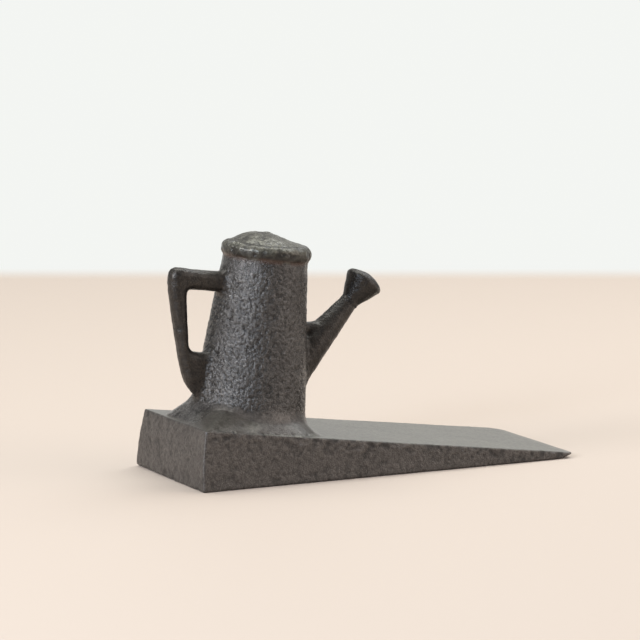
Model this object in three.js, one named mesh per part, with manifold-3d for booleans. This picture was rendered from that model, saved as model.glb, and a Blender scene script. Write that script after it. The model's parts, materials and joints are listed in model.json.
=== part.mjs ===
// Cast-iron wedge door stop with a small watering can standing on its ramp.
// Millimetres, +Z up. The origin is the centre of the flat underside; +X runs to the thin tip.
// The real object is one solid pour of iron. Each feature a founder's pattern would carry is a mesh
// of its own here, kept a small gap clear of its neighbours.

import * as THREE from "three";
import { mergeVertices } from "three/addons/utils/BufferGeometryUtils.js";
import Module from "manifold-3d";

const wasm = await Module();
wasm.setup();

// Shared
const GAP = 0.3; // between neighbouring pieces
const ROUND_SEGMENTS = 40; // around every turned piece
const INSIDE = 6; // how far a limb reaches into the can before its end is cut to fit

// Wedge
const WEDGE_LENGTH = 145;
const WEDGE_WIDTH = 55;
const HEEL_HEIGHT = 20.75;
const HEEL_RAKE = 1.8; // the heel's top edge lies this far forward of its bottom edge
const TIP_HEIGHT = 1.95;
const TIP_LIFT = 0.8; // the underside rises by this over the nose
const NOSE_LENGTH = 5.2;
const SIDE_DRAFT = 1.8; // each side leans in by this over the heel's height
const EDGE_ROUND = 1.1;
const CLEAR_RAMP_X = 12; // forward of here nothing stands over the ramp

// Watering can, in its own upright frame with the origin where its axis meets the ramp
const CAN_X = -43.3;
const CAN_RADIUS = 20.4;
const CAN_TAPER = 0.0985; // radius lost per millimetre of height
const FOOT_RADIUS = 24.2;
const FOOT_EDGE = 0.9;
const FOOT_HEIGHT = 6.2;
const RIM_BOTTOM = 58.1;
const RIM_HEIGHT = 5.3;
const RIM_RADIUS = 15.6;
const RIM_BULGE = 1.7;
const LID_RADIUS = 14.3;
const LID_SKIRT = 0.4; // height of the lid's upright edge
const LID_DOME = 3.6; // height of the domed half
const LID_FULLNESS = 0.7; // 0.5 is an ellipse, 1 a parabola
const LID_CONE = 3.6; // height of the sloping half
const LID_BLEND = 0.22; // half-width of the step between the two, as a share of the lid's radius

// Handle, drawn in the can's XZ plane
const HANDLE_WIDTH = 6.6;
const HANDLE_ROUND = 1.9;
const HANDLE_TOP = 52.6;
const HANDLE_BAR = 7.5; // depth of the top bar
const HANDLE_REACH = 36.1; // from the can's axis to the outermost point
const HANDLE_CORNER = 4.2;
const HANDLE_KNEE = { x: -35.5, z: 44.5 }; // where the outer side starts to run down and in
const HANDLE_HIP = { x: -28.4, z: 20.2 }; // where it starts to curl under
const HANDLE_CURL = { x: -25.7, z: 13 }; // the control point of that curl
const HANDLE_TAIL = { x: -19.6, z: 8.2 }; // where it runs out on the can
const LOOP_FLOOR = 24.2;
const LOOP_LOW = { x: -25.6, z: 25.9 };
const LOOP_HIGH = { x: -29, z: 43.4 };
const LOOP_ROUND = 1.7;

// Spout and rose, along the spout's own axis from where it leaves the can's wall
const SPOUT_HEIGHT = 24.1;
const SPOUT_ANGLE = THREE.MathUtils.degToRad(37.8); // from the can's axis
const SPOUT_LENGTH = 27.3;
const SPOUT_ROOT_RADIUS = 6.45;
const SPOUT_NECK_RADIUS = 3.1;
const ROSE_LENGTH = 8.8;
const ROSE_RADIUS = 6.8;
const ROSE_BAND = 1.1;
const ROSE_CROWN = 2.1; // how far its face bulges
const ROSE_WAIST = { radius: 3.7, share: 0.55 }; // control point of its flare, along its length

const RAMP_SLOPE = (HEEL_HEIGHT - TIP_HEIGHT) / (WEDGE_LENGTH - HEEL_RAKE);
const RAMP_ANGLE = Math.atan(RAMP_SLOPE);

const iron = (color, roughness) =>
  new THREE.MeshStandardMaterial({ color, roughness, metalness: 0.6 });

// Height of the ramp over the underside at x.
function rampHeight(x) {
  return HEEL_HEIGHT - RAMP_SLOPE * (x + WEDGE_LENGTH / 2 - HEEL_RAKE);
}

// Radius of the can's wall at a height along its axis.
function canRadius(height) {
  return CAN_RADIUS - CAN_TAPER * height;
}

// A closed geometry as a solid that can be joined and cut.
function solidFrom(geometry) {
  const bare = geometry.clone();
  bare.deleteAttribute("normal");
  bare.deleteAttribute("uv");
  const merged = mergeVertices(bare, 1e-4);
  return new wasm.Manifold(
    new wasm.Mesh({
      numProp: 3,
      vertProperties: merged.attributes.position.array,
      triVerts: new Uint32Array(merged.index.array),
    }),
  );
}

function geometryFrom(solid) {
  const mesh = solid.getMesh();
  const geometry = new THREE.BufferGeometry();
  geometry.setAttribute("position", new THREE.BufferAttribute(mesh.vertProperties, 3));
  geometry.setIndex(new THREE.BufferAttribute(mesh.triVerts, 1));
  geometry.computeVertexNormals();
  return geometry;
}

// A profile of [radius, height] points, from the axis back to the axis, turned about +Z.
function turned(profile) {
  const points = profile.map(([radius, height]) => new THREE.Vector2(radius, height));
  return new THREE.LatheGeometry(points, ROUND_SEGMENTS).rotateX(Math.PI / 2);
}

// Points of a curve as [x, y] pairs.
function pointsOf(curve, divisions) {
  return curve.getPoints(divisions).map((point) => [point.x, point.y]);
}

// The can's wall with the gap around it, as the tool that fits handle and spout to the can.
function canCutter() {
  const below = -20;
  const above = 80;
  return solidFrom(
    turned([
      [0, below],
      [canRadius(below) + GAP, below],
      [canRadius(above) + GAP, above],
      [0, above],
    ]),
  );
}

// The ramp: a section with rounded top corners, extruded heel to tip, then lowered towards the tip.
function wedgeGeometry() {
  const half = WEDGE_WIDTH / 2;
  const section = new THREE.Shape();
  section.moveTo(-half, 0);
  section.lineTo(half, 0);
  section.lineTo(half, HEEL_HEIGHT - EDGE_ROUND);
  section.quadraticCurveTo(half, HEEL_HEIGHT, half - EDGE_ROUND, HEEL_HEIGHT);
  section.lineTo(EDGE_ROUND - half, HEEL_HEIGHT);
  section.quadraticCurveTo(-half, HEEL_HEIGHT, -half, HEEL_HEIGHT - EDGE_ROUND);
  section.closePath();

  const stations = [
    -WEDGE_LENGTH / 2,
    CLEAR_RAMP_X,
    WEDGE_LENGTH / 2 - NOSE_LENGTH,
    WEDGE_LENGTH / 2,
  ];
  const steps = stations.length - 1;
  const geometry = new THREE.ExtrudeGeometry(section, {
    depth: steps,
    steps,
    bevelEnabled: false,
    curveSegments: 3,
  });

  const position = geometry.attributes.position;
  for (let i = 0; i < position.count; i += 1) {
    const station = Math.round(position.getZ(i));
    const share = position.getY(i) / HEEL_HEIGHT; // 0 at the underside, 1 on the ramp
    const atHeel = station === 0;
    const x = stations[station] + (atHeel ? HEEL_RAKE * share : 0);
    const top = atHeel ? HEEL_HEIGHT : rampHeight(x);
    const bottom = station === steps ? TIP_LIFT : 0;
    const z = bottom + share * (top - bottom);
    const y = position.getX(i) * (1 - (SIDE_DRAFT / half) * (z / HEEL_HEIGHT));
    position.setXYZ(i, x, y, z);
  }
  geometry.computeVertexNormals();
  return geometry;
}

// The flared mound at the can's base, a disc with a hollow fillet round it.
function footGeometry() {
  const fillet = new THREE.QuadraticBezierCurve(
    new THREE.Vector2(FOOT_RADIUS, GAP + FOOT_EDGE),
    new THREE.Vector2(canRadius(0), GAP + FOOT_EDGE),
    new THREE.Vector2(canRadius(FOOT_HEIGHT), FOOT_HEIGHT),
  );
  return turned([[0, GAP], [FOOT_RADIUS, GAP], ...pointsOf(fillet, 6), [0, FOOT_HEIGHT]]);
}

// The can's plain tapering wall, solid through.
function bodyGeometry() {
  const bottom = FOOT_HEIGHT + GAP;
  const top = RIM_BOTTOM - GAP;
  return turned([
    [0, bottom],
    [canRadius(bottom), bottom],
    [canRadius(top), top],
    [0, top],
  ]);
}

// The rolled bead round the can's mouth.
function rimGeometry() {
  const middle = RIM_BOTTOM + RIM_HEIGHT / 2;
  const bead = new THREE.EllipseCurve(
    RIM_RADIUS - RIM_BULGE,
    middle,
    RIM_BULGE,
    RIM_HEIGHT / 2,
    -Math.PI / 2,
    Math.PI / 2,
  );
  return turned([[0, RIM_BOTTOM], ...pointsOf(bead, 8), [0, RIM_BOTTOM + RIM_HEIGHT]]);
}

// The lid's height over its edge: a dome on the handle side, a low cone on the spout side.
function lidHeight(x, radius) {
  const share = Math.min(radius / LID_RADIUS, 1);
  const dome = LID_DOME * (1 - share * share) ** LID_FULLNESS;
  const cone = LID_CONE * (1 - share);
  const toSpout = THREE.MathUtils.smoothstep(x / LID_RADIUS, -LID_BLEND, LID_BLEND);
  return THREE.MathUtils.lerp(dome, cone, toSpout);
}

// The lid that closes the mouth.
function lidGeometry() {
  const seat = RIM_BOTTOM + RIM_HEIGHT + GAP;
  const rings = 9;
  const profile = [
    [0, 0],
    [LID_RADIUS, 0],
  ];
  for (let i = 0; i <= rings; i += 1) {
    profile.push([LID_RADIUS * (1 - (i / rings) ** 2), LID_SKIRT]);
  }
  const geometry = turned(profile);

  const position = geometry.attributes.position;
  for (let i = 0; i < position.count; i += 1) {
    const x = position.getX(i);
    const z = position.getZ(i);
    const raised = z > 0 ? lidHeight(x, Math.hypot(x, position.getY(i))) : 0;
    position.setZ(i, seat + z + raised);
  }
  geometry.computeVertexNormals();
  return geometry;
}

// The ear-shaped handle, drawn flat and given thickness, with its two ends cut to the can's wall.
function handleGeometry() {
  const inside = -INSIDE;
  const loopTop = HANDLE_TOP - HANDLE_BAR;
  const outline = new THREE.Shape();
  outline.moveTo(inside, HANDLE_TOP);
  outline.lineTo(HANDLE_CORNER - HANDLE_REACH, HANDLE_TOP);
  outline.quadraticCurveTo(-HANDLE_REACH, HANDLE_TOP, -HANDLE_REACH, HANDLE_TOP - HANDLE_CORNER);
  outline.lineTo(HANDLE_KNEE.x, HANDLE_KNEE.z);
  outline.lineTo(HANDLE_HIP.x, HANDLE_HIP.z);
  outline.quadraticCurveTo(HANDLE_CURL.x, HANDLE_CURL.z, HANDLE_TAIL.x, HANDLE_TAIL.z);
  outline.lineTo(inside, FOOT_HEIGHT + 2 * GAP);
  outline.lineTo(inside, LOOP_FLOOR);
  outline.lineTo(LOOP_LOW.x + LOOP_ROUND, LOOP_FLOOR);
  outline.quadraticCurveTo(LOOP_LOW.x, LOOP_FLOOR, LOOP_LOW.x, LOOP_LOW.z);
  outline.lineTo(LOOP_HIGH.x, LOOP_HIGH.z);
  outline.quadraticCurveTo(LOOP_HIGH.x, loopTop, LOOP_HIGH.x + LOOP_ROUND, loopTop);
  outline.lineTo(inside, loopTop);
  outline.closePath();

  const geometry = new THREE.ExtrudeGeometry(outline, {
    depth: HANDLE_WIDTH - 2 * HANDLE_ROUND,
    bevelThickness: HANDLE_ROUND,
    bevelSize: HANDLE_ROUND,
    bevelOffset: -HANDLE_ROUND,
    bevelSegments: 3,
    curveSegments: 5,
  });
  geometry.translate(0, 0, HANDLE_ROUND - HANDLE_WIDTH / 2).rotateX(Math.PI / 2);
  return geometryFrom(solidFrom(geometry).subtract(canCutter()));
}

// Places something in the can's frame along the spout's axis.
function alongSpout(geometry) {
  return geometry.rotateY(SPOUT_ANGLE).translate(canRadius(SPOUT_HEIGHT), 0, SPOUT_HEIGHT);
}

// The tapering spout, its root cut to the can's wall.
function spoutGeometry() {
  const taper = (SPOUT_ROOT_RADIUS - SPOUT_NECK_RADIUS) / SPOUT_LENGTH;
  const root = -2 * INSIDE;
  const spout = turned([
    [0, root],
    [SPOUT_ROOT_RADIUS - taper * root, root],
    [SPOUT_NECK_RADIUS, SPOUT_LENGTH],
    [0, SPOUT_LENGTH],
  ]);
  const cut = solidFrom(alongSpout(spout)).subtract(canCutter());
  return geometryFrom(cut);
}

// The rose on the spout's end: a flaring cone with a narrow band and a crowned face.
function roseGeometry() {
  const neck = SPOUT_LENGTH + GAP;
  const face = neck + ROSE_LENGTH;
  const flare = new THREE.QuadraticBezierCurve(
    new THREE.Vector2(SPOUT_NECK_RADIUS, neck),
    new THREE.Vector2(ROSE_WAIST.radius, neck + ROSE_WAIST.share * ROSE_LENGTH),
    new THREE.Vector2(ROSE_RADIUS, face - ROSE_BAND),
  );
  const crown = new THREE.QuadraticBezierCurve(
    new THREE.Vector2(ROSE_RADIUS, face),
    new THREE.Vector2(ROSE_RADIUS / 2, face + ROSE_CROWN),
    new THREE.Vector2(0, face + ROSE_CROWN),
  );
  return alongSpout(turned([[0, neck], ...pointsOf(flare, 5), ...pointsOf(crown, 4)]));
}

function piece(name, geometry, material) {
  const mesh = new THREE.Mesh(geometry, material);
  mesh.name = name;
  return mesh;
}

const wateringCan = new THREE.Group();
wateringCan.add(
  piece("can_foot", footGeometry(), iron(0x5f5b57, 0.6)),
  piece("can_body", bodyGeometry(), iron(0x54504e, 0.55)),
  piece("can_rim", rimGeometry(), iron(0x565350, 0.5)),
  piece("can_lid", lidGeometry(), iron(0x65625e, 0.55)),
  piece("handle", handleGeometry(), iron(0x47423d, 0.5)),
  piece("spout", spoutGeometry(), iron(0x454140, 0.5)),
  piece("spout_rose", roseGeometry(), iron(0x3e3a37, 0.5)),
);
wateringCan.position.set(CAN_X, 0, rampHeight(CAN_X));
wateringCan.rotation.y = RAMP_ANGLE;

const doorStop = new THREE.Group();
doorStop.add(piece("wedge", wedgeGeometry(), iron(0x6a6763, 0.6)), wateringCan);

export default doorStop;
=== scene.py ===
"""Looks of a cast-iron door stop with a watering can on its ramp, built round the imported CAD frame.

The real thing is one pour of iron. So each piece is a mesh cut from one smooth distance field of the
whole casting: neighbours meet inside the casting's fillets, and no join shows. Lengths are millimetres in
the field and metres in Blender.
"""

import json
import math

import bpy
import numpy as np
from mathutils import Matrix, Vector

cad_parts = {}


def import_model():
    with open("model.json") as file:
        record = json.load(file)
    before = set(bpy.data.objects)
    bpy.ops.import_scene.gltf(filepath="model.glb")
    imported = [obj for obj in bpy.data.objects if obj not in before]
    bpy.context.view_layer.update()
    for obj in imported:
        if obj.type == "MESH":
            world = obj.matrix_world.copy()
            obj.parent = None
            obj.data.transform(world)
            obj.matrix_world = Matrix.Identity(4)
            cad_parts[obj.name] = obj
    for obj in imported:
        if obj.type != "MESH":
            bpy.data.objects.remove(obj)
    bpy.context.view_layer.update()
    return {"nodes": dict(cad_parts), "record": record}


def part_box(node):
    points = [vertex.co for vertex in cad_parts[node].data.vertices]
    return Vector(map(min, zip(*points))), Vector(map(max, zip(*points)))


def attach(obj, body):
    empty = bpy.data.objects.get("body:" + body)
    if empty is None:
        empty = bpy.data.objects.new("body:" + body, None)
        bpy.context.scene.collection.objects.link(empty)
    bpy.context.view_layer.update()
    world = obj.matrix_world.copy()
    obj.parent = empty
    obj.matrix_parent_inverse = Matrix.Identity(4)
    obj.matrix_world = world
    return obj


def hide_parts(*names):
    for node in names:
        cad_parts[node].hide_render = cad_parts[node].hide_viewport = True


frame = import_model()
MM = 0.001

# Camera: the viewing angle of the picture that the part was made from
VIEW_YAW = math.radians(26.65)
VIEW_PITCH = math.radians(8.661)
VIEW_TARGET = (-10.3, 8.6, 50.3)
VIEW_DISTANCE = 1407.9
LENS = 225
VIEW_LEVEL = math.sin(VIEW_YAW), math.cos(VIEW_YAW), 0  # away from the camera, along the floor

# Wedge
HEEL_RAKE = 1.8
HEEL_BELLY = 0.45
HEEL_FLARE = 2.0  # how far the foot of the far side spreads towards the heel
SIDE_DRAFT = 1.8
NOSE_LENGTH = 5.2
TIP_LIFT = 1.6
TOP_ROUND = 0.5
BOTTOM_ROUNDS = 0.6, 1.6  # along the wedge, and at the heel's far corner
CORNER_ROUNDS = {"heel_near": 0.6, "heel_far": 1.0, "tip_near": 1.6, "tip_far": 6.0}

# Mound round the can's base: how high it climbs the wall and how far it reaches, from the handle's side
# round to the spout's, and how much further it runs towards the heel's near corner
MOUND_HEIGHTS = 6.6, 4.8, 2.6
MOUND_REACHES = 7.5, 7.0, 2.6
MOUND_TO_CORNER = 9
MOUND_CREST = 2.2
MOUND_TOES = 0.3, 1.6
HEEL_STRIP = 1.3  # bare ramp left between the mound and the heel

# Rim and lid
RIM_ROUND = 2.4
RIM_CREASE = 0.5
DOME_RADIUS = 13.7
DOME_FULLNESS = 0.74
CONE_HEIGHT = 3.7
LID_DROP = 0.2
LID_STEP = 0.42
LID_CREASE = 1.0
LID_EDGE = 0.5

# Handle, as seen from its side: each corner's place from the can's axis, its height on the can, and how
# far its rounding reaches along the edges
HANDLE_OUTLINE = (
    (-6, 52.8, 0.1),
    (-24, 52.2, 9),
    (-36.3, 53.2, 4.6),
    (-35.6, 44.5, 6),
    (-28.4, 20.2, 7.5),
    (-25.5, 12.8, 6),
    (-18.8, 7.0, 1),
    (-6, 4.0, 0.1),
)
HANDLE_LOOP = (
    (-6, 45.6, 0.1),
    (-29.3, 45.5, 2.2),
    (-25.5, 24.2, 2.4),
    (-19.6, 24.1, 1.5),
    (-6, 27, 0.1),
)
HANDLE_ROUND = 2.9
HANDLE_FILLET = 2.3

# Spout and rose
SPOUT_ANGLE = math.radians(37.8)
SPOUT_FILLET = 2.0
LEDGE_START = 12, 34.9
LEDGE_END = 21.3, 35.2
LEDGE_HALF = 2.2
LEDGE_FILLET = 1.5
ROSE_TILT = math.radians(5)
ROSE_LENGTH = 8.9
ROSE_BAND = 1.2
ROSE_CROWN = 2.2
ROSE_FLARE = 0.88
ROSE_ROUND = 1.0
NECK_FILLET = 0.7

# Stage: how far the floor runs, and where it turns white behind the part and how gradually
FLOOR_SIZE = 6000
FLOOR_BACK = 478
FLOOR_BLEND = 22
FLOOR_COLOUR = 0.488, 0.415, 0.36
WALL_COLOUR = 0.9, 0.915, 0.89

# Cutting the casting into pieces
OVERLAP = 1.2  # how far a piece runs on under its neighbour
DIP = 0.3  # how fast it sinks below the casting's surface there
COARSE = 1.0
MARGIN = 3.5  # room round a CAD node's box for the fillets, the overlap and the skin
BLOCK = 12  # grid steps along a block
BLOCKS_AT_ONCE = 150  # worked out together, to bound the memory


# ---------------------------------------------------------------- what the frame says


def node_points(node):
    """A CAD node's vertices, in millimetres."""
    vertices = frame["nodes"][node].data.vertices
    flat = np.empty(3 * len(vertices))
    vertices.foreach_get("co", flat)
    return flat.reshape(-1, 3) / MM


def box_mm(node):
    low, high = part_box(node)
    return np.array(low) / MM, np.array(high) / MM


def smoothstep(value, low, high):
    share = np.clip((value - low) / (high - low), 0, 1)
    return share * share * (3 - 2 * share)


MOUNTS = {mount["name"]: mount for mount in frame["record"]["mounts"]}
RAMP_POINT = np.array(MOUNTS["ramp"]["pos_m"]) / MM
CAN_UP = np.array(MOUNTS["ramp"]["axis"])
CAN_UP = CAN_UP / np.linalg.norm(CAN_UP)
CAN_OUT = np.array([CAN_UP[2], 0, -CAN_UP[0]])  # towards the spout


def to_ramp(points):
    """Along the ramp, across it and off it, from the ramp mount."""
    offset = points - RAMP_POINT
    return offset @ CAN_OUT, points[:, 1], offset @ CAN_UP


def span(node):
    """Lowest and highest corner of a CAD node along the ramp, across it and off it."""
    local = np.stack(to_ramp(node_points(node)))
    return local.min(1), local.max(1)


RIM_LOW, RIM_HIGH = span("can_rim")
CAN_PLACE = (RIM_LOW[0] + RIM_HIGH[0]) / 2  # the can's axis along the ramp
RIM_RADIUS = (RIM_HIGH[1] - RIM_LOW[1]) / 2


def to_can(points):
    """Towards the spout, across, up the can's axis, and out from that axis."""
    along, across, up = to_ramp(points)
    along = along - CAN_PLACE
    return along, across, up, np.hypot(along, across)


def wall_line():
    """The can's wall as its radius on the ramp and the radius it loses per millimetre of height."""
    _, _, up, radius = to_can(node_points("can_body"))
    low, high = up.min(), up.max()
    bottom = radius[up < low + 0.01].max()
    top = radius[up > high - 0.01].max()
    taper = (bottom - top) / (high - low)
    return bottom + taper * low, taper


CAN_RADIUS, CAN_TAPER = wall_line()
LID_TOP = span("can_lid")[1][2]
HANDLE_HALF_WIDTH = span("handle")[1][1]
WEDGE_LOW, WEDGE_HIGH = box_mm("wedge")
SHOULDER = WEDGE_HIGH[1] - SIDE_DRAFT
HEEL_PLACE = to_can(np.array([[WEDGE_LOW[0] + HEEL_RAKE, 0, WEDGE_HIGH[2]]]))[0][0]

SPOUT_ALONG = math.sin(SPOUT_ANGLE), math.cos(SPOUT_ANGLE)


def spout_line():
    """Where the spout's axis passes, its neck's place, the radii of neck and rose, and the spout's taper."""
    along, across, up, _ = to_can(node_points("spout_rose"))
    start = along.mean(), up.mean()
    place = (along - start[0]) * SPOUT_ALONG[0] + (up - start[1]) * SPOUT_ALONG[1]
    neck = place.min()
    neck_radius = np.abs(across[place < neck + 0.01]).max()
    rose_radius = np.abs(across).max()
    along, across, up, _ = to_can(node_points("spout"))
    place = (along - start[0]) * SPOUT_ALONG[0] + (up - start[1]) * SPOUT_ALONG[1]
    widest = np.argmax(np.abs(across))
    taper = (abs(across[widest]) - neck_radius) / (neck - place[widest])
    return start, neck, neck_radius, rose_radius, taper


SPOUT_START, NECK_PLACE, NECK_RADIUS, ROSE_RADIUS, SPOUT_TAPER = spout_line()


# ---------------------------------------------------------------- distance fields


def join(a, b, radius):
    """Both solids, with a concave fillet between them."""
    corner = np.hypot(np.maximum(radius - a, 0), np.maximum(radius - b, 0))
    return np.maximum(radius, np.minimum(a, b)) - corner


def meet(a, b, radius):
    """What both solids share, with a rounded edge."""
    corner = np.hypot(np.maximum(radius + a, 0), np.maximum(radius + b, 0))
    return np.minimum(-radius, np.maximum(a, b)) + corner


def plan_field(points):
    """The wedge's four upright sides, with its corners rounded as seen from above."""
    x, y, z = points.T
    height = WEDGE_HIGH[2]
    heel = (height * (WEDGE_LOW[0] - x) + HEEL_RAKE * z) / math.hypot(height, HEEL_RAKE)
    heel = heel - HEEL_BELLY * np.sin(np.pi * np.clip(z / height, 0, 1))
    tip = x - WEDGE_HIGH[0]
    near = y < 0
    flare = np.where(near, 0, HEEL_FLARE * smoothstep(-x, 10, 70) * np.clip(1 - z / height, 0, 1))
    side = np.abs(y) - WEDGE_HIGH[1] - flare + SIDE_DRAFT * z / height
    heel_round = np.where(near, CORNER_ROUNDS["heel_near"], CORNER_ROUNDS["heel_far"])
    tip_round = np.where(near, CORNER_ROUNDS["tip_near"], CORNER_ROUNDS["tip_far"])
    return meet(np.maximum(heel, tip), side, np.where(x < 0, heel_round, tip_round))


def mound_size(along, across, radius):
    """Height and reach of the mound, in the direction of each point from the can's axis.

    It runs out to the wedge's sides and near corner, and leaves a strip of ramp free along the rest of the heel.
    """
    radius = np.maximum(radius, 1)
    turn = along / radius
    shares = smoothstep(turn, -0.65, -0.4), smoothstep(turn, 0.6, 0.92)
    height, reach = (
        behind + (beside - behind) * shares[0] + (before - beside) * shares[1]
        for behind, beside, before in (MOUND_HEIGHTS, MOUND_REACHES)
    )
    to_corner = -(along + across) / (math.sqrt(2) * radius)
    reach = reach + MOUND_TO_CORNER * smoothstep(to_corner, 0.7, 0.95)
    to_side = SHOULDER * radius / np.maximum(np.abs(across), 1)
    to_heel = HEEL_PLACE * radius / np.minimum(along, -1)
    strip = HEEL_STRIP * (1 - smoothstep(-across / radius, 0.15, 0.4))
    room = np.minimum(to_side - 0.2, np.where(along < 0, to_heel - 0.2 - strip, to_side)) - CAN_RADIUS
    return height, np.minimum(reach, room)


def mound_field(points):
    """A skirt from the can's wall down to the ramp."""
    along, across, up, radius = to_can(points)
    height, reach = mound_size(along, across, radius)
    return ((radius - CAN_RADIUS) * height + (up - height) * reach) / np.hypot(height, reach)


def ramp_field(points):
    """The ramp and the mound on it, whose toe is crisp beside the can and soft below the spout."""
    along, _, _, radius = to_can(points)
    to_spout = smoothstep(along / np.maximum(radius, 1), 0.3, 0.8)
    toe = MOUND_TOES[0] + (MOUND_TOES[1] - MOUND_TOES[0]) * to_spout
    return join((points - RAMP_POINT) @ CAN_UP, mound_field(points), toe)


def wedge_field(points):
    """The wedge with the mound on its ramp."""
    x, _, z = points.T
    nose_start = WEDGE_HIGH[0] - NOSE_LENGTH
    nose = (TIP_LIFT * (x - nose_start) - NOSE_LENGTH * z) / math.hypot(TIP_LIFT, NOSE_LENGTH)
    block = meet(plan_field(points), ramp_field(points), TOP_ROUND)
    to_corner = smoothstep(points[:, 1] - x, 60, 95)
    bottom_round = BOTTOM_ROUNDS[0] + (BOTTOM_ROUNDS[1] - BOTTOM_ROUNDS[0]) * to_corner
    return meet(block, np.maximum(-z, nose), bottom_round)


def wall_field(points):
    """The can's wall, running on up and down."""
    _, _, up, radius = to_can(points)
    return (radius - CAN_RADIUS + CAN_TAPER * up) / math.hypot(1, CAN_TAPER)


def foot_field(points):
    """Wedge, mound and can together, as they flow into each other."""
    return join(wedge_field(points), shell_field(points), MOUND_CREST)


def bead_field(points):
    """The rolled bead: a disc with a rounded rim."""
    _, _, up, radius = to_can(points)
    middle = (RIM_LOW[2] + RIM_HIGH[2]) / 2
    half = (RIM_HIGH[2] - RIM_LOW[2]) / 2
    out = radius - (RIM_RADIUS - RIM_ROUND)
    over = np.abs(up - middle) - (half - RIM_ROUND)
    inside = np.minimum(np.maximum(out, over), 0)
    return inside + np.hypot(np.maximum(out, 0), np.maximum(over, 0)) - RIM_ROUND


def lid_field(points):
    """A dome on the handle side that steps down to a low cone on the spout side."""
    along, _, up, radius = to_can(points)
    height = LID_TOP - RIM_HIGH[2] - LID_DROP
    dome_share = np.clip(1 - (radius / DOME_RADIUS) ** 2, 0, 1)
    dome = height * dome_share**DOME_FULLNESS - LID_CREASE * (1 - dome_share)
    cone = CONE_HEIGHT * (1 - radius / (RIM_RADIUS - RIM_ROUND / 2))
    to_spout = smoothstep(along / RIM_RADIUS, -LID_STEP, LID_STEP)
    top = (up - RIM_HIGH[2] - dome - (cone - dome) * to_spout) * 0.85
    return meet(top, radius - RIM_RADIUS + RIM_ROUND / 2, LID_EDGE)


def shell_field(points):
    """The can's wall, its bead and its lid."""
    _, _, up, _ = to_can(points)
    wall = np.maximum(wall_field(points), up - RIM_HIGH[2] + RIM_ROUND)
    return join(join(wall, bead_field(points), RIM_CREASE), lid_field(points), RIM_CREASE)


def softened(corners):
    """A closed outline through (along, up, cut) corners, each rounded by a curve that starts the cut before."""
    places = np.array([c[:2] for c in corners], float)
    outline = []
    for i, (_, _, cut) in enumerate(corners):
        ends = []
        for other in (places[i - 1], places[(i + 1) % len(corners)]):
            run = other - places[i]
            ends.append(places[i] + run * min(cut / np.linalg.norm(run), 0.5))
        for share in (0, 0.25, 0.5, 0.75, 1):
            first = ends[0] + (places[i] - ends[0]) * share
            second = places[i] + (ends[1] - places[i]) * share
            outline.append(first + (second - first) * share)
    return np.array(outline)


def outline_field(along, up, outline):
    """Signed distance to a closed outline in the can's plane."""
    nearest = np.full(along.shape, np.inf)
    inside = np.zeros(along.shape, bool)
    for (start_along, start_up), (end_along, end_up) in zip(outline, np.roll(outline, -1, 0)):
        run_along, run_up = end_along - start_along, end_up - start_up
        gap_along, gap_up = along - start_along, up - start_up
        share = (gap_along * run_along + gap_up * run_up) / max(run_along**2 + run_up**2, 1e-9)
        share = np.clip(share, 0, 1)
        gap = (gap_along - share * run_along) ** 2 + (gap_up - share * run_up) ** 2
        nearest = np.minimum(nearest, gap)
        if run_up:
            crosses = (start_up <= up) != (end_up <= up)
            inside ^= crosses & (gap_along < gap_up * run_along / run_up)
    return np.where(inside, -1, 1) * np.sqrt(nearest)


OUTER = softened(HANDLE_OUTLINE)
LOOP = softened(HANDLE_LOOP)


def handle_field(points):
    """A flat plate in the can's plane with a loop cut through it and rounded edges."""
    along, across, up, _ = to_can(points)
    field = np.full(len(points), 12.0)
    close = (np.abs(across) < HANDLE_HALF_WIDTH + 8) & (along < 0)
    along, across, up = along[close], across[close], up[close]
    plate = np.maximum(outline_field(along, up, OUTER), -outline_field(along, up, LOOP))
    field[close] = meet(plate, np.abs(across) - HANDLE_HALF_WIDTH, HANDLE_ROUND)
    return field


def limb(points, start, end, half):
    """A round limb with round ends between two places in the can's plane."""
    along, across, up, _ = to_can(points)
    run = end[0] - start[0], end[1] - start[1]
    share = ((along - start[0]) * run[0] + (up - start[1]) * run[1]) / (run[0] ** 2 + run[1] ** 2)
    share = np.clip(share, 0, 1)
    gap = np.hypot(along - start[0] - share * run[0], up - start[1] - share * run[1])
    return np.hypot(gap, across) - half


def spout_place(points):
    """Distance along the spout's axis and out from it."""
    along, across, up, _ = to_can(points)
    along, up = along - SPOUT_START[0], up - SPOUT_START[1]
    place = along * SPOUT_ALONG[0] + up * SPOUT_ALONG[1]
    side = along * SPOUT_ALONG[1] - up * SPOUT_ALONG[0]
    return place, side, across


def spout_field(points):
    """The tapering spout, with a little ledge where its top leaves the wall."""
    place, side, across = spout_place(points)
    radius = np.hypot(side, across)
    slant = radius - NECK_RADIUS + SPOUT_TAPER * (place - NECK_PLACE)
    spout = np.maximum(slant / math.hypot(1, SPOUT_TAPER), place - NECK_PLACE - 1)
    return join(spout, limb(points, LEDGE_START, LEDGE_END, LEDGE_HALF), LEDGE_FILLET)


def rose_field(points):
    """The flaring rose with its band and crowned face, tipped a little up from the spout's line."""
    place, side, across = spout_place(points)
    place = place - NECK_PLACE
    turn = math.cos(ROSE_TILT), math.sin(ROSE_TILT)
    place, side = place * turn[0] - side * turn[1], side * turn[0] + place * turn[1]
    radius = np.hypot(side, across)
    share = np.clip(place / (ROSE_LENGTH - ROSE_BAND), 0, 1)
    flare = NECK_RADIUS + (ROSE_RADIUS - NECK_RADIUS) * share**ROSE_FLARE
    side_gap = (radius - flare) * 0.9
    crown = ROSE_CROWN * (1 - np.clip(radius / ROSE_RADIUS, 0, 1) ** 2)
    return meet(np.maximum(side_gap, -1 - place), place - ROSE_LENGTH - crown, ROSE_ROUND)


def handle_joined(points):
    return join(foot_field(points), handle_field(points), HANDLE_FILLET)


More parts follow.
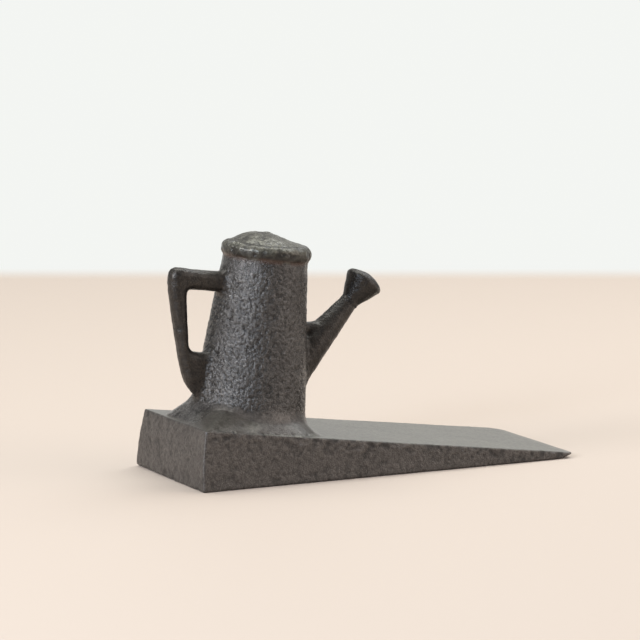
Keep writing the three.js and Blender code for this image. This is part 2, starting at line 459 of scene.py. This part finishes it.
def rose_joined(points):
    return join(spout_field(points), rose_field(points), NECK_FILLET)


def spout_joined(points):
    return join(shell_field(points), rose_joined(points), SPOUT_FILLET)


def can_joined(points):
    return np.minimum(handle_joined(points), spout_joined(points))


# ---------------------------------------------------------------- where each piece ends


def foot_edge(points):
    """Negative where the mound's toe is, positive out on the bare wedge."""
    along, across, _, radius = to_can(points)
    _, reach = mound_size(along, across, radius)
    return radius - CAN_RADIUS - reach - 0.8


def foot_top(points):
    """Negative below the height where the mound has run out on the wall."""
    along, across, up, radius = to_can(points)
    height, _ = mound_size(along, across, radius)
    return up - height - 1.6


def off_can(points):
    """Negative within a millimetre of the can and its mound."""
    return np.minimum(wall_field(points), mound_field(points)) - 1


def wedge_region(points):
    _, _, up, _ = to_can(points)
    return np.minimum(-foot_edge(points), up + 0.6)


def foot_region(points):
    return np.maximum(-wedge_region(points), np.maximum(foot_top(points), off_can(points)))


def body_region(points):
    _, _, up, _ = to_can(points)
    ends = np.maximum(-foot_top(points), up - RIM_LOW[2] + 0.4)
    return np.maximum(ends, off_can(points))


def rim_region(points):
    _, _, up, radius = to_can(points)
    below = RIM_LOW[2] - 0.4 - up
    return np.maximum(below, np.minimum(DOME_RADIUS - radius, up - RIM_HIGH[2] + 1.5))


def lid_region(points):
    _, _, up, radius = to_can(points)
    return np.maximum(radius - DOME_RADIUS, RIM_HIGH[2] - 1.5 - up)


def handle_region(points):
    along, _, _, _ = to_can(points)
    return np.maximum(-off_can(points), along)


def spout_region(points):
    place, _, _ = spout_place(points)
    along, _, _, _ = to_can(points)
    return np.maximum(np.maximum(-off_can(points), -along), place - NECK_PLACE)


def rose_region(points):
    place, _, _ = spout_place(points)
    return NECK_PLACE - place


def cut(whole, region):
    """The part of the whole in a region, which sinks a little where it runs on under its neighbour."""

    def field(points):
        beyond = region(points)
        sunk = whole(points) + DIP * np.clip(beyond, 0, OVERLAP)
        return np.maximum(sunk, beyond - OVERLAP)

    return field


# ---------------------------------------------------------------- from field to mesh


def sample(field, low, high, step):
    """The field on a grid of whole blocks, worked out in full only in those that the surface may cross."""
    blocks = np.ceil((high - low) / (step * BLOCK)).astype(int)
    size = step * BLOCK
    corners = np.stack(np.meshgrid(*[np.arange(n) for n in blocks], indexing="ij"), -1)
    centres = low + (corners.reshape(-1, 3) + 0.5) * size - step / 2
    rough = field(centres)
    close = np.abs(rough) < 1.3 * size * math.sqrt(3) / 2 + 1
    values = np.repeat(rough.astype(np.float32), BLOCK**3).reshape(-1, BLOCK, BLOCK, BLOCK)
    inner = np.stack(np.meshgrid(*[np.arange(BLOCK)] * 3, indexing="ij"), -1).reshape(-1, 3)
    starts = corners.reshape(-1, 3)[close] * BLOCK
    fine = []
    for first in range(0, len(starts), BLOCKS_AT_ONCE):
        index = starts[first : first + BLOCKS_AT_ONCE, None, :] + inner[None]
        fine.append(field(low + index.reshape(-1, 3) * step))
    values[close] = np.concatenate(fine).reshape(-1, BLOCK, BLOCK, BLOCK)
    values = values.reshape(*blocks, BLOCK, BLOCK, BLOCK).transpose(0, 3, 1, 4, 2, 5)
    return values.reshape(*(blocks * BLOCK))


def nets(values):
    """Surface nets: one vertex in each grid cell that the surface crosses, and one quad per crossed edge."""
    inside = values < 0
    cells = tuple(n - 1 for n in values.shape)
    corner_steps = [(i, j, k) for i in (0, 1) for j in (0, 1) for k in (0, 1)]

    def corner(array, step):
        return array[tuple(slice(s, s + n) for s, n in zip(step, cells))]

    count = sum(corner(inside, step).astype(np.int8) for step in corner_steps)
    active = (count > 0) & (count < 8)
    where = np.argwhere(active)
    number = np.full(cells, -1)
    number[active] = np.arange(len(where))

    total = np.zeros((len(where), 3))
    hits = np.zeros(len(where))
    for step in corner_steps:
        for axis in range(3):
            if step[axis]:
                continue
            start = where + step
            end = start.copy()
            end[:, axis] += 1
            a = values[tuple(start.T)].astype(float)
            b = values[tuple(end.T)].astype(float)
            crossed = (a < 0) != (b < 0)
            share = np.where(crossed, a / np.where(crossed, a - b, 1), 0)
            point = start.astype(float)
            point[:, axis] += share
            total += point * crossed[:, None]
            hits += crossed
    vertices = total / hits[:, None]

    quads = []
    for axis in range(3):
        one, two = (axis + 1) % 3, (axis + 2) % 3
        low = [slice(1, -1)] * 3
        low[axis] = slice(0, -1)
        high = list(low)
        high[axis] = slice(1, None)
        a, b = inside[tuple(low)], inside[tuple(high)]
        for leaving in (True, False):
            at = np.argwhere((a & ~b) if leaving else (~a & b))
            at[:, one] += 1
            at[:, two] += 1
            ring = []
            for shift_one, shift_two in ((1, 1), (0, 1), (0, 0), (1, 0)):
                cell = at.copy()
                cell[:, one] -= shift_one
                cell[:, two] -= shift_two
                ring.append(number[tuple(cell.T)])
            quad = np.stack(ring, 1)
            quads.append(quad if leaving else quad[:, ::-1])
    return vertices, np.concatenate(quads)


def main_body(vertices, quads):
    """The largest part joined across clean edges, without the crumbs that a cut can leave beside or on it.

    A clean edge has two faces. Edges where this part meets itself with four faces stay as they are.
    """
    ends = np.sort(np.stack([quads, np.roll(quads, -1, 1)], -1).reshape(-1, 2), 1)
    key = ends[:, 0] * len(vertices) + ends[:, 1]
    _, edge, uses = np.unique(key, return_inverse=True, return_counts=True)
    edge = edge.ravel()
    order = np.argsort(edge, kind="stable")
    order = order[uses[edge[order]] == 2]
    one, two = order[0::2] // 4, order[1::2] // 4
    label = np.arange(len(quads))
    while True:
        lowest = np.minimum(label[one], label[two])
        spread = label.copy()
        np.minimum.at(spread, one, lowest)
        np.minimum.at(spread, two, lowest)
        spread = spread[spread]
        if np.array_equal(spread, label):
            break
        label = spread
    quads = quads[label == np.bincount(label).argmax()]
    kept, number = np.unique(quads, return_inverse=True)
    return vertices[kept], number.reshape(quads.shape)


def slope(field, points, reach=0.08):
    """The field's gradient, by differences."""
    parts = []
    for axis in range(3):
        step = np.zeros(3)
        step[axis] = reach
        parts.append((field(points + step) - field(points - step)) / (2 * reach))
    return np.stack(parts, 1)


def settle(field, points, limit):
    """Points moved onto the field's surface, and the outward direction there."""
    for _ in range(2):
        gradient = slope(field, points)
        square = np.maximum((gradient**2).sum(1), 0.05)
        move = np.clip(field(points) / square, -limit, limit)
        points = points - gradient * move[:, None]
    gradient = slope(field, points, 0.3)
    return points, gradient / np.linalg.norm(gradient, axis=1)[:, None]


# ---------------------------------------------------------------- the casting's skin


def scatter(cell, seed):
    """A repeatable number from 0 to 1 for each whole-number point."""
    mixed = cell[..., 0] * 73856093 ^ cell[..., 1] * 19349663 ^ cell[..., 2] * 83492791
    mixed = (mixed ^ seed * 374761393) & 0xFFFFFFFF
    mixed = ((mixed ^ mixed >> 13) * 1274126177) & 0xFFFFFFFF
    mixed = ((mixed ^ mixed >> 16) * 2246822519) & 0xFFFFFFFF
    return (mixed ^ mixed >> 15) / 0xFFFFFFFF


def cloud(points, size, seed):
    """Smooth noise from -1 to 1, with lumps of about the given size."""
    scaled = points / size
    cell = np.floor(scaled).astype(np.int64)
    share = scaled - cell
    share = share * share * (3 - 2 * share)
    total = 0
    for i in (0, 1):
        for j in (0, 1):
            for k in (0, 1):
                weight = np.prod(np.where([i, j, k], share, 1 - share), axis=-1)
                total = total + weight * scatter(cell + [i, j, k], seed)
    return 2 * total - 1


def pebbles(points, size, seed):
    """Rounded grains packed side by side: 1 on a grain's middle, near 0 between grains."""
    scaled = points / size
    cell = np.floor(scaled).astype(np.int64)
    nearest = np.full(len(points), 9.0)
    for i in (-1, 0, 1):
        for j in (-1, 0, 1):
            for k in (-1, 0, 1):
                other = cell + [i, j, k]
                grain = np.stack([scatter(other, seed + n) for n in range(3)], -1)
                gap = ((other + grain - scaled) ** 2).sum(-1)
                nearest = np.minimum(nearest, gap)
    return 1 - np.clip(nearest, 0, 1)


def skin(points, whole, outward):
    """How far the skin stands off the ideal surface, and the shares that the material is mixed by."""
    along, across, up, radius = to_can(points)
    wall = np.abs(wall_field(points))
    below_bead = 1 - 0.75 * smoothstep(up, RIM_LOW[2] - 6, RIM_LOW[2] - 2.5)
    on_can = (1 - smoothstep(wall, 0.8, 2.5)) * smoothstep(up, 4, 10) * below_bead
    on_can = on_can * (1 - smoothstep(up, RIM_LOW[2] - 1, RIM_LOW[2] + 1))
    on_lid = smoothstep(up, RIM_LOW[2] - 0.5, RIM_LOW[2] + 1)
    on_bead = on_lid * smoothstep(radius, DOME_RADIUS - 0.4, DOME_RADIUS + 0.6)
    ramp = (points - RAMP_POINT) @ CAN_UP
    on_top = smoothstep(outward @ CAN_UP, 0.72, 0.95) * (1 - smoothstep(up, 4, 8))
    on_side = smoothstep(-ramp, 0.3, 1.2) * smoothstep(np.abs(outward[:, 1]), 0.4, 0.8)
    on_mound = (1 - smoothstep(np.maximum(wall - 12, up - 9), 0, 2)) * smoothstep(ramp, 0.2, 1) * (1 - on_can)
    crest = on_mound * (1 - smoothstep(along / np.maximum(radius, 1), -0.5, 0.1))

    pebble = pebbles(points, 1.1, 11) - 0.7
    grit = cloud(points, 0.7, 12)
    lumps = cloud(points, 2.2, 13)
    knobs = cloud(points, 1.2, 14)
    pits = -smoothstep(cloud(points, 2.4, 17), 0.42, 0.75)
    dimples = -smoothstep(cloud(points, 1.3, 19), 0.3, 0.7)
    height = on_can * (0.4 * pebble + 0.12 * grit + 0.05 * lumps)
    height = height + (on_lid - on_bead) * (0.15 * lumps + 0.12 * knobs + 0.2 * pits + 0.05 * grit)
    height = height + on_bead * (0.16 * lumps + 0.16 * knobs + 0.24 * dimples)
    height = height + on_side * (0.04 * lumps + 0.07 * knobs + 0.04 * dimples + 0.1 * grit)
    by_edge = np.exp(-((ramp / 3.5) ** 2)) * smoothstep(np.abs(outward[:, 1]), 0.2, 0.6)
    by_edge = by_edge * (1 - on_mound)
    height = height + by_edge * (0.16 * knobs + 0.12 * dimples + 0.08 * lumps)
    rest = np.clip(1 - on_can - on_lid - on_side, 0, 1) * (1 - 0.5 * on_mound)
    height = height + rest * (1 - 0.86 * on_top) * (0.09 * lumps + 0.05 * knobs + 0.08 * pits)
    rough_side = on_mound * smoothstep(-along / np.maximum(radius, 1), 0.8, 0.95)
    height = height + rough_side * (0.12 * pebble + 0.06 * knobs + 0.2 * pits)
    raised = height / 0.3
    on_wedge = 1 - smoothstep(ramp, -0.5, 0.5)
    sway = 0.16 * cloud(points, 14, 15) + 0.08 * cloud(points, 5.5, 16)
    height = height + sway * (1 - 0.6 * np.maximum(on_top, on_wedge))

    # Painted shade where the casting curves inward, in creases and fillets
    painted_shade = (1 - whole(points + 2.2 * outward) / 2.2) * smoothstep(up, 10, 14)
    # Convex edges, painted lighter: partly rubbed wear, partly a painted highlight
    edge = 1 + whole(points - 1.2 * outward) / 1.2
    rust = 1 - smoothstep(np.abs(up - RIM_LOW[2] - 0.2), 0.3, 1.3)
    rust = rust * smoothstep(cloud(points, 3.5, 18), -0.6, 0.4)
    # Painted shade in the groove round the lid and under the bead's overhang, added to the crease shade below
    groove = on_lid * (1 - smoothstep(np.abs(radius - DOME_RADIUS + 0.2), 0.2, 0.9))
    under_bead = on_bead * (1 - smoothstep(outward @ CAN_UP, -0.1, 0.6))
    by_wall = (1 - smoothstep(wall, 1, 4)) * smoothstep(up, 5, 10)
    # The handle, spout and rose and the can right next to them take the darker trim look: partly their own
    # darker iron, partly painted shade at the joints
    trim = np.minimum(handle_field(points), np.maximum(rose_joined(points), 6 - along))
    shares = {
        "painted_shade": np.clip(np.maximum(painted_shade, 0.8 * groove + 0.6 * under_bead), 0, 1),
        "edge": np.clip(edge, 0, 1) * (1 - on_lid),
        "relief": np.clip(raised, -1, 1),
        "sleek": np.clip(on_top + 0.5 * on_mound + 0.5 * crest + 0.55 * on_lid - rough_side, 0, 1),
        # Faces that look up and the lid: a lighter, greener tone that paints in the sky's reflection on them
        "painted_top_reflection": np.clip(on_top * (0.5 + 0.5 * smoothstep(along, -16, -4)) + on_lid, 0, 1),
        "wall": np.clip(by_wall + on_lid + 0.7 * rough_side, 0, 1),
        "rust": rust,
        "trim": 1 - smoothstep(trim, 0.2, 3.5),
    }
    return height, shares


def add_attribute(mesh, name, values):
    attribute = mesh.attributes.new(name, "FLOAT", "POINT")
    attribute.data.foreach_set("value", values.astype(np.float32))


def build(name, nodes, slot, whole, region, step):
    """Meshes one piece of the casting and sets it in the frame."""
    step = step * COARSE
    corners = [box_mm(node) for node in nodes]
    margin = MARGIN + step
    low = np.min([c[0] for c in corners], 0) - margin
    high = np.max([c[1] for c in corners], 0) + margin
    field = cut(whole, region)
    vertices, quads = main_body(*nets(sample(field, low, high, step)))
    points, outward = settle(field, low + vertices * step, step / 2)
    height, shares = skin(points, whole, outward)
    points = points + outward * height[:, None]
    points[:, 2] = np.maximum(points[:, 2], 0)

    mesh = bpy.data.meshes.new(name)
    mesh.vertices.add(len(points))
    mesh.vertices.foreach_set("co", (points * MM).ravel())
    mesh.loops.add(quads.size)
    mesh.loops.foreach_set("vertex_index", quads.ravel())
    mesh.polygons.add(len(quads))
    mesh.polygons.foreach_set("loop_start", np.arange(0, quads.size, 4))
    mesh.polygons.foreach_set("use_smooth", np.ones(len(quads), bool))
    mesh.update(calc_edges=True)
    mesh.validate()
    for share, values in shares.items():
        add_attribute(mesh, share, values)
    piece = bpy.data.objects.new(name, mesh)
    bpy.context.scene.collection.objects.link(piece)
    mesh.materials.append(IRON[slot])
    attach(piece, "root")
    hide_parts(*nodes)
    print(f"{name}: {len(points)} vertices, {2 * len(quads)} triangles")


# ---------------------------------------------------------------- materials


class Nodes:
    """Short calls for a material's node tree."""

    def __init__(self, tree):
        self.tree = tree

    def add(self, kind, inputs=None, **settings):
        node = self.tree.nodes.new(kind)
        for key, value in settings.items():
            setattr(node, key, value)
        for key, value in (inputs or {}).items():
            if isinstance(value, bpy.types.NodeSocket):
                self.tree.links.new(value, node.inputs[key])
            else:
                node.inputs[key].default_value = value
        return node

    def math(self, operation, a, b):
        return self.add("ShaderNodeMath", {0: a, 1: b}, operation=operation).outputs[0]

    def ramp(self, value, low, high, to_low=0.0, to_high=1.0):
        inputs = {0: value, 1: low, 2: high, 3: to_low, 4: to_high}
        return self.add("ShaderNodeMapRange", inputs, interpolation_type="SMOOTHSTEP").outputs[0]

    def mix(self, share, a, b):
        node = self.add("ShaderNodeMix", {0: share}, data_type="RGBA")
        for key, value in ((6, a), (7, b)):
            if isinstance(value, bpy.types.NodeSocket):
                self.tree.links.new(value, node.inputs[key])
            else:
                node.inputs[key].default_value = (*value, 1)
        return node.outputs[2]

    def blend(self, share, a, b):
        return self.add("ShaderNodeMix", {0: share, 2: a, 3: b}, data_type="FLOAT").outputs[0]

    def noise(self, place, size, detail, rough):
        inputs = {"Vector": place, "Scale": 1 / size, "Detail": detail, "Roughness": rough}
        return self.add("ShaderNodeTexNoise", inputs).outputs[0]

    def dot(self, a, b):
        node = self.add("ShaderNodeVectorMath", {0: a, 1: b}, operation="DOT_PRODUCT")
        return node.outputs["Value"]

    def attribute(self, name):
        return self.add("ShaderNodeAttribute", attribute_name=name).outputs["Fac"]


# Darkest and lightest tone, roughness and strength of the fine bump
WEDGE_LOOK = (0.043, 0.037, 0.033), (0.086, 0.076, 0.069), 0.4, 0.7
# TOP_LOOK: lighter and greener, a painted reflection of the sky on faces that look up
TOP_LOOK = (0.046, 0.044, 0.035), (0.11, 0.105, 0.085), 0.4, 0.7
WALL_LOOK = (0.021, 0.0195, 0.0185), (0.074, 0.069, 0.066), 0.18, 1.0
# TRIM_LOOK: the handle and spout's own darker iron, deepened with painted shade where they meet the can
TRIM_LOOK = (0.0075, 0.0055, 0.0045), (0.03, 0.024, 0.019), 0.34, 0.6
# Painted shade colour, for creases, the lid's groove, under the bead and the dips between grains
PAINTED_SHADE_COLOUR = 0.009, 0.008, 0.0075
# Painted highlight colour, on the tops of grains
PAINTED_GLINT_COLOUR = 0.115, 0.115, 0.118
# Convex edges: rubbed wear plus a painted highlight
EDGE_WEAR_AND_HIGHLIGHT_COLOUR = 0.15, 0.135, 0.12
RUST_COLOUR = 0.05, 0.02, 0.012
BUMP_DEPTH = 0.4


def cast_iron(name):
    """Satin lacquered sand-cast iron: mottled and rusty under the bead, with painted shade in its hollows, under
    the bead and between grains, painted highlights on grain tops, and edges that are rubbed and also painted
    lighter as a highlight.

    The pieces are one pour, so the look changes where the casting's faces do and not where the pieces do.
    """
    material = bpy.data.materials.new(name)
    material.use_nodes = True
    material.node_tree.nodes.clear()
    n = Nodes(material.node_tree)
    coordinates = n.add("ShaderNodeTexCoord").outputs["Object"]
    place = n.add("ShaderNodeVectorMath", {0: coordinates, 1: (1 / MM,) * 3}, operation="MULTIPLY")
    place = place.outputs[0]

    patches = n.noise(place, 9, 3, 0.55)
    specks = n.noise(place, 1.2, 3, 0.6)
    grit = n.noise(place, 0.5, 2, 0.6)
    raised = n.attribute("relief")
    sleek = n.attribute("sleek")

    tone = n.math("ADD", n.math("MULTIPLY", patches, 0.12), n.math("MULTIPLY", specks, 0.38))
    tone = n.ramp(n.math("ADD", tone, n.math("MULTIPLY", grit, 0.5)), 0.4, 0.6)
    colour = n.mix(tone, WEDGE_LOOK[0], WEDGE_LOOK[1])
    rough, bump = WEDGE_LOOK[2:]
    for share, look in (("wall", WALL_LOOK), ("painted_top_reflection", TOP_LOOK), ("trim", TRIM_LOOK)):
        share = n.attribute(share)
        colour = n.mix(share, colour, n.mix(tone, look[0], look[1]))
        rough = n.blend(share, rough, look[2])
        bump = n.blend(share, bump, look[3])

    # Painted shade in the dips between grains and in pits
    colour = n.mix(n.ramp(raised, 0.1, -0.6, 0, 0.75), colour, PAINTED_SHADE_COLOUR)
    # Painted highlights on the tops of grains
    colour = n.mix(n.ramp(raised, 0.3, 0.9, 0, 0.6), colour, PAINTED_GLINT_COLOUR)
    # Painted shade in creases, in the lid's groove and under the bead
    colour = n.mix(n.ramp(n.attribute("painted_shade"), 0.2, 0.75, 0, 0.75), colour, PAINTED_SHADE_COLOUR)
    # Edges lightened: rubbed wear and a painted highlight
    colour = n.mix(n.ramp(n.attribute("edge"), 0.35, 0.8, 0, 0.5), colour, EDGE_WEAR_AND_HIGHLIGHT_COLOUR)
    colour = n.mix(n.math("MULTIPLY", n.attribute("rust"), 0.55), colour, RUST_COLOUR)
    swing = n.math("MULTIPLY", n.ramp(specks, 0.35, 0.65, 0.07, -0.07), n.ramp(sleek, 0, 1, 1, 0.15))
    rough = n.math("ADD", rough, swing)
    rough = n.math("SUBTRACT", rough, n.math("MULTIPLY", sleek, 0.08))

    grain = n.math("ADD", n.math("MULTIPLY", specks, 0.3), n.math("MULTIPLY", grit, 0.7))
    strength = n.math("MULTIPLY", bump, n.ramp(sleek, 0, 1, 1, 0.16))
    relief = n.add("ShaderNodeBump", {"Strength": strength, "Distance": BUMP_DEPTH * MM, "Height": grain})
    shader = n.add(
        "ShaderNodeBsdfPrincipled",
        {"Base Color": colour, "Roughness": rough, "Metallic": 0.3, "Normal": relief.outputs[0]},
    )
    n.add("ShaderNodeOutputMaterial", {"Surface": shader.outputs[0]})
    return material


IRON = {name: cast_iron(name) for name in ("iron_wedge", "iron_can", "iron_trim")}

build("Wedge", ["wedge"], "iron_wedge", foot_field, wedge_region, 0.5)
build("Can_Foot", ["can_foot"], "iron_wedge", handle_joined, foot_region, 0.35)
build("Can_Body", ["can_body"], "iron_can", can_joined, body_region, 0.35)
build("Can_Rim", ["can_rim"], "iron_can", shell_field, rim_region, 0.3)
build("Can_Lid", ["can_lid"], "iron_can", shell_field, lid_region, 0.3)
build("Handle", ["handle"], "iron_trim", handle_joined, handle_region, 0.3)
build("Spout", ["spout"], "iron_trim", spout_joined, spout_region, 0.3)
build("Spout_Rose", ["spout_rose"], "iron_trim", spout_joined, rose_region, 0.25)


# ---------------------------------------------------------------- stage


def floor():
    """A plain floor that turns white beyond a line behind the part, square to the camera."""
    size = FLOOR_SIZE * MM
    mesh = bpy.data.meshes.new("floor")
    corners = [(-size, -size, 0), (size, -size, 0), (size, size, 0), (-size, size, 0)]
    mesh.from_pydata(corners, [], [(0, 1, 2, 3)])
    plane = bpy.data.objects.new("floor", mesh)
    bpy.context.scene.collection.objects.link(plane)
    material = bpy.data.materials.new("stage_floor")
    material.use_nodes = True
    material.node_tree.nodes.clear()
    n = Nodes(material.node_tree)
    place = n.add("ShaderNodeTexCoord").outputs["Object"]
    distance = n.dot(place, VIEW_LEVEL)
    far = n.ramp(distance, (FLOOR_BACK - FLOOR_BLEND) * MM, (FLOOR_BACK + FLOOR_BLEND) * MM)
    near = n.add("ShaderNodeBsdfPrincipled", {"Base Color": (*FLOOR_COLOUR, 1), "Roughness": 0.7})
    white = n.add("ShaderNodeEmission", {"Color": (*WALL_COLOUR, 1), "Strength": 1})
    mixed = n.add("ShaderNodeMixShader", {0: far, 1: near.outputs[0], 2: white.outputs[0]})
    n.add("ShaderNodeOutputMaterial", {"Surface": mixed.outputs[0]})
    mesh.materials.append(material)


def area_light(name, position, target, size, power, colour):
    """A soft box at a position, facing a target, that the camera doesn't see."""
    light = bpy.data.lights.new(name, "AREA")
    light.shape = "RECTANGLE"
    light.size, light.size_y = size
    light.energy = power
    light.color = colour
    lamp = bpy.data.objects.new(name, light)
    lamp.location = position
    lamp.rotation_euler = (Vector(target) - Vector(position)).to_track_quat("-Z", "Y").to_euler()
    lamp.visible_camera = False
    bpy.context.scene.collection.objects.link(lamp)


def world(colour, front, sides, above, glow):
    """Soft room light: dim at the camera, brighter beside and above, and a glow low down behind the part."""
    made = bpy.data.worlds.new("studio")
    made.use_nodes = True
    made.node_tree.nodes.clear()
    n = Nodes(made.node_tree)
    direction = n.add("ShaderNodeTexCoord").outputs["Generated"]
    toward = n.dot(direction, VIEW_LEVEL)
    height = n.dot(direction, (0, 0, 1))
    strength = n.ramp(toward, -0.9, -0.3, front, sides)
    strength = n.math("ADD", strength, n.ramp(height, 0.4, 0.9, 0, above))
    strength = n.math("ADD", strength, n.ramp(toward, 0.88, 0.99, 0, glow))
    background = n.add("ShaderNodeBackground", {"Color": (*colour, 1), "Strength": strength})
    n.add("ShaderNodeOutputWorld", {"Surface": background.outputs[0]})
    bpy.context.scene.world = made


def camera():
    """The camera, at the picture's viewing angle."""
    data = bpy.data.cameras.new("camera")
    data.lens = LENS
    data.sensor_width = 36
    data.clip_start = 0.01
    data.clip_end = 50
    made = bpy.data.objects.new("camera", data)
    forward = Vector(
        (
            math.sin(VIEW_YAW) * math.cos(VIEW_PITCH),
            math.cos(VIEW_YAW) * math.cos(VIEW_PITCH),
            -math.sin(VIEW_PITCH),
        )
    )
    made.location = (Vector(VIEW_TARGET) - forward * VIEW_DISTANCE) * MM
    made.rotation_euler = forward.to_track_quat("-Z", "Y").to_euler()
    bpy.context.scene.collection.objects.link(made)
    bpy.context.scene.camera = made


floor()
world((1.0, 0.985, 0.95), front=0.1, sides=0.35, above=0.5, glow=0.62)
area_light("window_left", (-1.3, -0.1, 0.56), (-0.03, 0, 0.05), (0.45, 0.4), 13, (0.96, 0.95, 0.96))
area_light("window_middle", (-1.16, -0.6, 0.56), (-0.03, 0, 0.05), (0.3, 0.4), 8.5, (0.75, 0.86, 1.0))
area_light("window_right", (-0.99, -0.84, 0.56), (-0.03, 0, 0.05), (0.2, 0.4), 2, (0.72, 0.84, 1.0))
area_light("sky", (0.1, 0.4, 1.3), (0, 0, 0.0), (1.4, 0.5), 12, (0.98, 1.0, 0.94))
area_light("side", (0.45, 0.2, 0.55), (-0.03, 0, 0.03), (0.4, 0.3), 1.2, (0.93, 0.96, 1.0))
area_light("room", (1.3, -1.05, 0.75), (0, 0, 0.05), (1.7, 1.3), 16, (1.0, 0.89, 0.82))
camera()
bpy.context.scene.view_settings.view_transform = "Standard"
